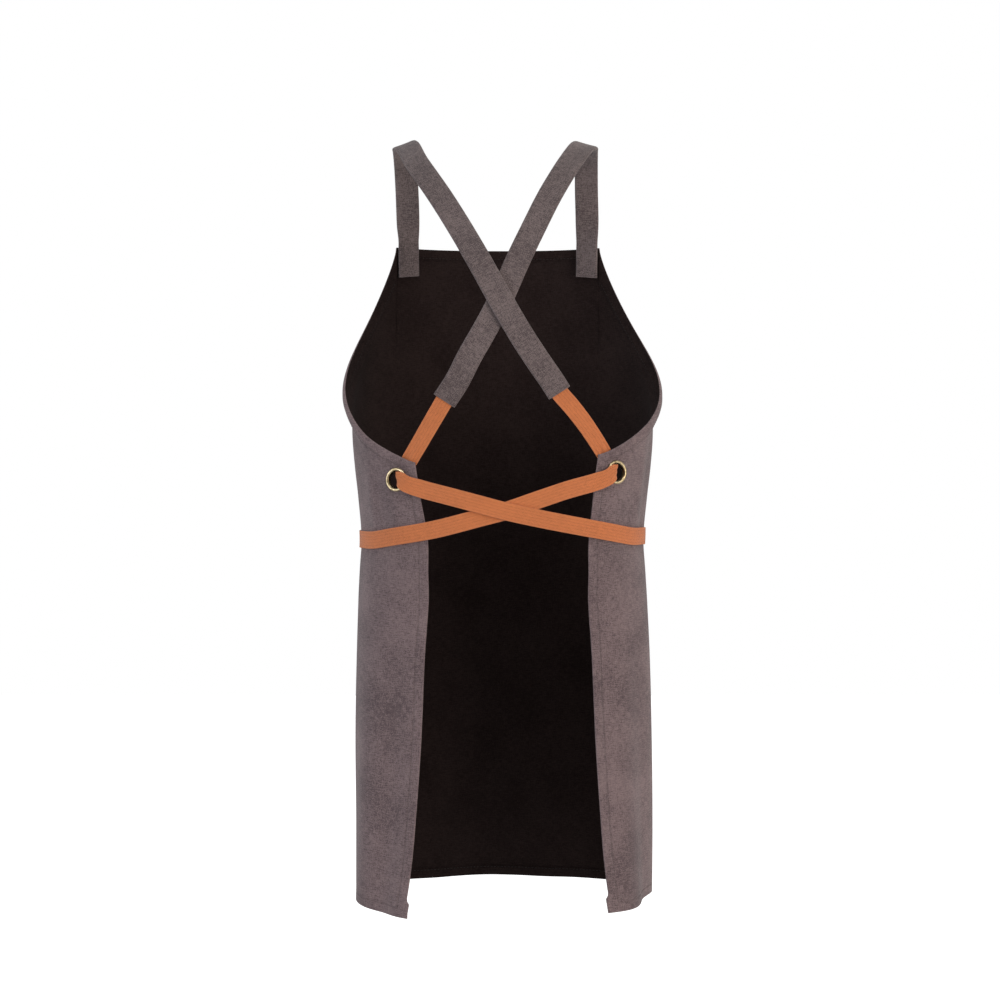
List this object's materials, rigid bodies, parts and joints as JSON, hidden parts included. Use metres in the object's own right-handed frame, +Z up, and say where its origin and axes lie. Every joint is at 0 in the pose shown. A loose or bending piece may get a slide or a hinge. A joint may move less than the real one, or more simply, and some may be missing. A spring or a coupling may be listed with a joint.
{
  "type": "cross back apron",
  "caption": "Canvas work apron in its worn form, with shoulder straps that cross on the back and webbing ties through brass eyelets, knotted at the front.",
  "frame": {"origin": "midway between the places where the two straps lie on the shoulders, level with the straps' undersides", "axes": "+Z up, +Y to the wearer's front, +X to the wearer's right"},
  "size_m": [0.3719, 0.2605, 0.8964],
  "materials": {
    "panel_canvas": "matt woven canvas, taupe grey",
    "strap_canvas": "matt woven canvas, taupe grey",
    "webbing": "twill webbing, orange brown",
    "brass": "polished, slightly aged"
  },
  "bodies": {
    "root": {"apron_panel": "panel_canvas", "shoulder_strap_left": "strap_canvas", "shoulder_strap_right": "strap_canvas", "webbing_left": "webbing", "webbing_right": "webbing", "waist_knot": "webbing", "eyelet_left": "brass", "eyelet_right": "brass", "eyelet_washer_left": "brass", "eyelet_washer_right": "brass"}
  },
  "joints": []
}
